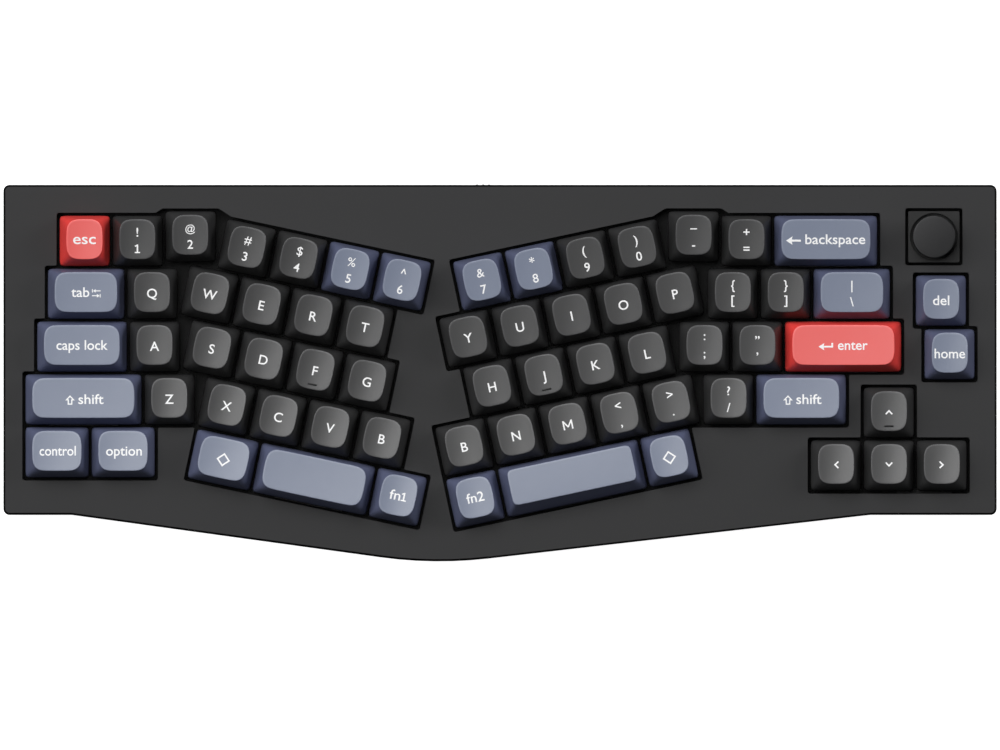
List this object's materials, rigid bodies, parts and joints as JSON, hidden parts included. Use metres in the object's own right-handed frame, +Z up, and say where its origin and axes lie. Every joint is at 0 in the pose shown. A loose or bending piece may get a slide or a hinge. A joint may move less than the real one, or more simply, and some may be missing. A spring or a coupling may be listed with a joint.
{
  "type": "ergonomic keyboard",
  "caption": "Split-angle mechanical keyboard in a wedge-shaped metal case with two turned key blocks, sprung keycaps, a volume knob and a cable socket at the rear.",
  "frame": {"origin": "middle of the footprint, on the desk under the feet", "axes": "+X to the user's right along the case, +Y to the rear, +Z up"},
  "size_m": [0.358, 0.138, 0.0426],
  "materials": {
    "case_metal": "satin",
    "plate_metal": "satin",
    "knob_metal": "satin",
    "cap_dark": "matte",
    "cap_blue": "matte",
    "cap_red": "matte",
    "switch_plastic": "satin",
    "black_plastic": "satin",
    "board": "satin",
    "foam": "matte",
    "rubber": "matte",
    "steel": "satin"
  },
  "bodies": {
    "keyboard": {"bottom_case": "case_metal", "case_foam": "foam", "case_screws": "steel", "circuit_board": "board", "connector_board": "board", "encoder_body": "steel", "gasket_strips": "foam", "knob_surround": "black_plastic", "rubber_feet": "rubber", "slide_switch_body": "steel", "stabiliser_housings": "black_plastic", "stabiliser_wires": "steel", "switch_housings": "switch_plastic", "switch_plate": "plate_metal", "top_case": "case_metal", "usb_socket": "steel"},
    "home_letter_keys": {"home_letter_keys": "cap_dark"},
    "key_0": {"key_0": "cap_dark"},
    "key_1": {"key_1": "cap_dark"},
    "key_2": {"key_2": "cap_dark"},
    "key_3": {"key_3": "cap_dark"},
    "key_4": {"key_4": "cap_dark"},
    "key_5": {"key_5": "cap_blue"},
    "key_6": {"key_6": "cap_blue"},
    "key_7": {"key_7": "cap_blue"},
    "key_8": {"key_8": "cap_blue"},
    "key_9": {"key_9": "cap_dark"},
    "key_backslash": {"key_backslash": "cap_blue"},
    "key_backspace": {"key_backspace": "cap_blue"},
    "key_caps_lock": {"key_caps_lock": "cap_blue"},
    "key_control": {"key_control": "cap_blue"},
    "key_delete": {"key_delete": "cap_blue"},
    "key_down": {"key_down": "cap_dark"},
    "key_enter": {"key_enter": "cap_red"},
    "key_equals": {"key_equals": "cap_dark"},
    "key_esc": {"key_esc": "cap_red"},
    "key_fn1": {"key_fn1": "cap_blue"},
    "key_fn2": {"key_fn2": "cap_blue"},
    "key_home": {"key_home": "cap_blue"},
    "key_left": {"key_left": "cap_dark"},
    "key_left_bracket": {"key_left_bracket": "cap_dark"},
    "key_left_command": {"key_left_command": "cap_blue"},
    "key_left_shift": {"key_left_shift": "cap_blue"},
    "key_left_space": {"key_left_space": "cap_blue"},
    "key_minus": {"key_minus": "cap_dark"},
    "key_option": {"key_option": "cap_blue"},
    "key_quote": {"key_quote": "cap_dark"},
    "key_right": {"key_right": "cap_dark"},
    "key_right_bracket": {"key_right_bracket": "cap_dark"},
    "key_right_command": {"key_right_command": "cap_blue"},
    "key_right_shift": {"key_right_shift": "cap_blue"},
    "key_right_space": {"key_right_space": "cap_blue"},
    "key_tab": {"key_tab": "cap_blue"},
    "key_up": {"key_up": "cap_dark"},
    "lower_letter_keys": {"lower_letter_keys": "cap_dark"},
    "upper_letter_keys": {"upper_letter_keys": "cap_dark"},
    "slide_switch_cap": {"slide_switch_cap": "black_plastic"},
    "encoder_plunger": {"encoder_plunger": "black_plastic"},
    "volume_knob": {"volume_knob": "knob_metal", "encoder_shaft": "steel"}
  },
  "joints": [
    {"name": "home_letter_keys_press", "type": "slide", "parent": "keyboard", "child": "home_letter_keys", "axis": [0, 0.0906, -0.9959], "range_m": [0, 0.004], "stiffness_N_per_m": 1200, "springref_m": -0.003},
    {"name": "0_press", "type": "slide", "parent": "keyboard", "child": "key_0", "axis": [0, 0.0906, -0.9959], "range_m": [0, 0.004], "stiffness_N_per_m": 120, "springref_m": -0.003},
    {"name": "1_press", "type": "slide", "parent": "keyboard", "child": "key_1", "axis": [0, 0.0906, -0.9959], "range_m": [0, 0.004], "stiffness_N_per_m": 120, "springref_m": -0.003},
    {"name": "2_press", "type": "slide", "parent": "keyboard", "child": "key_2", "axis": [0, 0.0906, -0.9959], "range_m": [0, 0.004], "stiffness_N_per_m": 120, "springref_m": -0.003},
    {"name": "3_press", "type": "slide", "parent": "keyboard", "child": "key_3", "axis": [0, 0.0906, -0.9959], "range_m": [0, 0.004], "stiffness_N_per_m": 120, "springref_m": -0.003},
    {"name": "4_press", "type": "slide", "parent": "keyboard", "child": "key_4", "axis": [0, 0.0906, -0.9959], "range_m": [0, 0.004], "stiffness_N_per_m": 120, "springref_m": -0.003},
    {"name": "5_press", "type": "slide", "parent": "keyboard", "child": "key_5", "axis": [0, 0.0906, -0.9959], "range_m": [0, 0.004], "stiffness_N_per_m": 120, "springref_m": -0.003},
    {"name": "6_press", "type": "slide", "parent": "keyboard", "child": "key_6", "axis": [0, 0.0906, -0.9959], "range_m": [0, 0.004], "stiffness_N_per_m": 120, "springref_m": -0.003},
    {"name": "7_press", "type": "slide", "parent": "keyboard", "child": "key_7", "axis": [0, 0.0906, -0.9959], "range_m": [0, 0.004], "stiffness_N_per_m": 120, "springref_m": -0.003},
    {"name": "8_press", "type": "slide", "parent": "keyboard", "child": "key_8", "axis": [0, 0.0906, -0.9959], "range_m": [0, 0.004], "stiffness_N_per_m": 120, "springref_m": -0.003},
    {"name": "9_press", "type": "slide", "parent": "keyboard", "child": "key_9", "axis": [0, 0.0906, -0.9959], "range_m": [0, 0.004], "stiffness_N_per_m": 120, "springref_m": -0.003},
    {"name": "backslash_press", "type": "slide", "parent": "keyboard", "child": "key_backslash", "axis": [0, 0.0906, -0.9959], "range_m": [0, 0.004], "stiffness_N_per_m": 120, "springref_m": -0.003},
    {"name": "backspace_press", "type": "slide", "parent": "keyboard", "child": "key_backspace", "axis": [0, 0.0906, -0.9959], "range_m": [0, 0.004], "stiffness_N_per_m": 120, "springref_m": -0.003},
    {"name": "caps_lock_press", "type": "slide", "parent": "keyboard", "child": "key_caps_lock", "axis": [0, 0.0906, -0.9959], "range_m": [0, 0.004], "stiffness_N_per_m": 120, "springref_m": -0.003},
    {"name": "control_press", "type": "slide", "parent": "keyboard", "child": "key_control", "axis": [0, 0.0906, -0.9959], "range_m": [0, 0.004], "stiffness_N_per_m": 120, "springref_m": -0.003},
    {"name": "delete_press", "type": "slide", "parent": "keyboard", "child": "key_delete", "axis": [0, 0.0906, -0.9959], "range_m": [0, 0.004], "stiffness_N_per_m": 120, "springref_m": -0.003},
    {"name": "down_press", "type": "slide", "parent": "keyboard", "child": "key_down", "axis": [0, 0.0906, -0.9959], "range_m": [0, 0.004], "stiffness_N_per_m": 120, "springref_m": -0.003},
    {"name": "enter_press", "type": "slide", "parent": "keyboard", "child": "key_enter", "axis": [0, 0.0906, -0.9959], "range_m": [0, 0.004], "stiffness_N_per_m": 120, "springref_m": -0.003},
    {"name": "equals_press", "type": "slide", "parent": "keyboard", "child": "key_equals", "axis": [0, 0.0906, -0.9959], "range_m": [0, 0.004], "stiffness_N_per_m": 120, "springref_m": -0.003},
    {"name": "esc_press", "type": "slide", "parent": "keyboard", "child": "key_esc", "axis": [0, 0.0906, -0.9959], "range_m": [0, 0.004], "stiffness_N_per_m": 120, "springref_m": -0.003},
    {"name": "fn1_press", "type": "slide", "parent": "keyboard", "child": "key_fn1", "axis": [0, 0.0906, -0.9959], "range_m": [0, 0.004], "stiffness_N_per_m": 120, "springref_m": -0.003},
    {"name": "fn2_press", "type": "slide", "parent": "keyboard", "child": "key_fn2", "axis": [0, 0.0906, -0.9959], "range_m": [0, 0.004], "stiffness_N_per_m": 120, "springref_m": -0.003},
    {"name": "home_press", "type": "slide", "parent": "keyboard", "child": "key_home", "axis": [0, 0.0906, -0.9959], "range_m": [0, 0.004], "stiffness_N_per_m": 120, "springref_m": -0.003},
    {"name": "left_press", "type": "slide", "parent": "keyboard", "child": "key_left", "axis": [0, 0.0906, -0.9959], "range_m": [0, 0.004], "stiffness_N_per_m": 120, "springref_m": -0.003},
    {"name": "left_bracket_press", "type": "slide", "parent": "keyboard", "child": "key_left_bracket", "axis": [0, 0.0906, -0.9959], "range_m": [0, 0.004], "stiffness_N_per_m": 120, "springref_m": -0.003},
    {"name": "left_command_press", "type": "slide", "parent": "keyboard", "child": "key_left_command", "axis": [0, 0.0906, -0.9959], "range_m": [0, 0.004], "stiffness_N_per_m": 120, "springref_m": -0.003},
    {"name": "left_shift_press", "type": "slide", "parent": "keyboard", "child": "key_left_shift", "axis": [0, 0.0906, -0.9959], "range_m": [0, 0.004], "stiffness_N_per_m": 120, "springref_m": -0.003},
    {"name": "left_space_press", "type": "slide", "parent": "keyboard", "child": "key_left_space", "axis": [0, 0.0906, -0.9959], "range_m": [0, 0.004], "stiffness_N_per_m": 120, "springref_m": -0.003},
    {"name": "minus_press", "type": "slide", "parent": "keyboard", "child": "key_minus", "axis": [0, 0.0906, -0.9959], "range_m": [0, 0.004], "stiffness_N_per_m": 120, "springref_m": -0.003},
    {"name": "option_press", "type": "slide", "parent": "keyboard", "child": "key_option", "axis": [0, 0.0906, -0.9959], "range_m": [0, 0.004], "stiffness_N_per_m": 120, "springref_m": -0.003},
    {"name": "quote_press", "type": "slide", "parent": "keyboard", "child": "key_quote", "axis": [0, 0.0906, -0.9959], "range_m": [0, 0.004], "stiffness_N_per_m": 120, "springref_m": -0.003},
    {"name": "right_press", "type": "slide", "parent": "keyboard", "child": "key_right", "axis": [0, 0.0906, -0.9959], "range_m": [0, 0.004], "stiffness_N_per_m": 120, "springref_m": -0.003},
    {"name": "right_bracket_press", "type": "slide", "parent": "keyboard", "child": "key_right_bracket", "axis": [0, 0.0906, -0.9959], "range_m": [0, 0.004], "stiffness_N_per_m": 120, "springref_m": -0.003},
    {"name": "right_command_press", "type": "slide", "parent": "keyboard", "child": "key_right_command", "axis": [0, 0.0906, -0.9959], "range_m": [0, 0.004], "stiffness_N_per_m": 120, "springref_m": -0.003},
    {"name": "right_shift_press", "type": "slide", "parent": "keyboard", "child": "key_right_shift", "axis": [0, 0.0906, -0.9959], "range_m": [0, 0.004], "stiffness_N_per_m": 120, "springref_m": -0.003},
    {"name": "right_space_press", "type": "slide", "parent": "keyboard", "child": "key_right_space", "axis": [0, 0.0906, -0.9959], "range_m": [0, 0.004], "stiffness_N_per_m": 120, "springref_m": -0.003},
    {"name": "tab_press", "type": "slide", "parent": "keyboard", "child": "key_tab", "axis": [0, 0.0906, -0.9959], "range_m": [0, 0.004], "stiffness_N_per_m": 120, "springref_m": -0.003},
    {"name": "up_press", "type": "slide", "parent": "keyboard", "child": "key_up", "axis": [0, 0.0906, -0.9959], "range_m": [0, 0.004], "stiffness_N_per_m": 120, "springref_m": -0.003},
    {"name": "lower_letter_keys_press", "type": "slide", "parent": "keyboard", "child": "lower_letter_keys", "axis": [0, 0.0906, -0.9959], "range_m": [0, 0.004], "stiffness_N_per_m": 1320, "springref_m": -0.003},
    {"name": "upper_letter_keys_press", "type": "slide", "parent": "keyboard", "child": "upper_letter_keys", "axis": [0, 0.0906, -0.9959], "range_m": [0, 0.004], "stiffness_N_per_m": 1200, "springref_m": -0.003},
    {"name": "slide_switch", "type": "slide", "parent": "keyboard", "child": "slide_switch_cap", "axis": [1, 0, 0], "range_m": [0, 0.002]},
    {"name": "knob_press", "type": "slide", "parent": "keyboard", "child": "encoder_plunger", "axis": [0, 0.0906, -0.9959], "range_m": [0, 0.0005], "stiffness_N_per_m": 4000, "springref_m": -0.0003},
    {"name": "knob_turn", "type": "hinge", "parent": "encoder_plunger", "child": "volume_knob", "pos_m": [0.15639, 0.04748, 0.03145], "axis": [0, -0.0906, 0.9959], "continuous": true}
  ]
}
